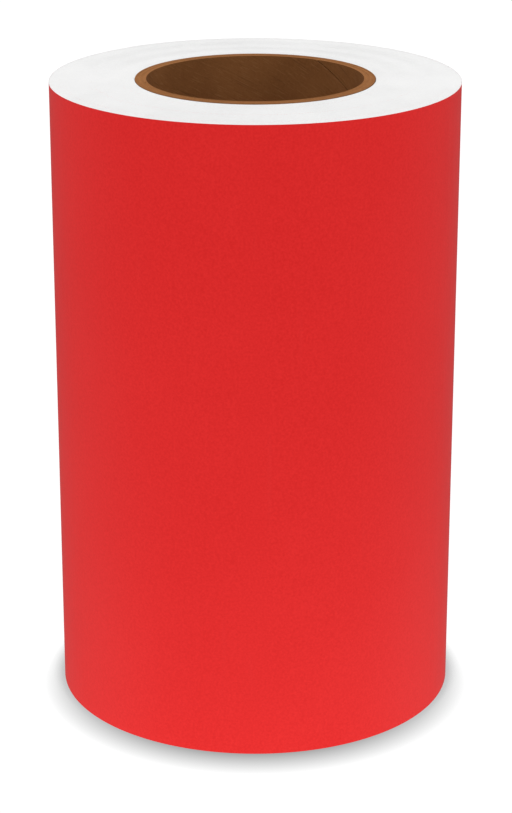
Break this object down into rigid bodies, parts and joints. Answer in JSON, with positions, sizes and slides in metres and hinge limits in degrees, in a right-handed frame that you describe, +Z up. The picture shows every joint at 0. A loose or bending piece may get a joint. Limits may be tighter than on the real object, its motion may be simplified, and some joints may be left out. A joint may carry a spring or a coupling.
{
  "type": "roll of sign vinyl",
  "caption": "Roll of red self-adhesive sign vinyl on white release liner, wound on a cardboard core, with a loose tail that lifts, a film end that peels and a tape that holds it.",
  "frame": {"origin": "on the core's axis, on the floor that the roll stands on", "axes": "+Z up the core's axis; the shown side of the roll faces -Y, and the tail's edge lies at the back, 130 degrees from +X towards +Y"},
  "size_m": [0.1457, 0.1458, 0.229],
  "materials": {
    "core_board": "matt brown kraft board",
    "start_tape": "double-sided tissue tape",
    "web_edge": "matt white slit edges of the release liner",
    "release_liner": "smooth white coated paper",
    "adhesive": "tacky acrylic film",
    "vinyl_film": "satin red calendered film",
    "clear_tape": "clear glossy tape"
  },
  "bodies": {
    "roll": {"core_inner_ply": "core_board", "core_body_ply_1": "core_board", "core_body_ply_2": "core_board", "core_body_ply_3": "core_board", "core_body_ply_4": "core_board", "core_body_ply_5": "core_board", "core_body_ply_6": "core_board", "core_outer_ply": "core_board", "start_tape": "start_tape", "wound_web": "web_edge", "outer_turn_liner": "release_liner", "outer_turn_adhesive": "adhesive", "outer_turn_film": "vinyl_film"},
    "tail": {"tail_liner": "release_liner", "tail_adhesive": "adhesive", "tail_film": "vinyl_film"},
    "film_end": {"peel_adhesive": "adhesive", "peel_film": "vinyl_film"},
    "tape": {"end_tape": "clear_tape"}
  },
  "joints": [
    {"name": "tail_lift", "type": "hinge", "parent": "roll", "child": "tail", "pos_m": [0.00904, 0.07248, 0.1145], "axis": [0, 0, -1], "range_deg": [0, 45]},
    {"name": "film_peel", "type": "hinge", "parent": "tail", "child": "film_end", "pos_m": [-0.02449, 0.06883, 0.1145], "axis": [0, 0, -1], "range_deg": [0, 90]},
    {"name": "tape_peel", "type": "hinge", "parent": "film_end", "child": "tape", "pos_m": [-0.03101, 0.06626, 0.1145], "axis": [0, 0, -1], "range_deg": [0, 80]}
  ]
}
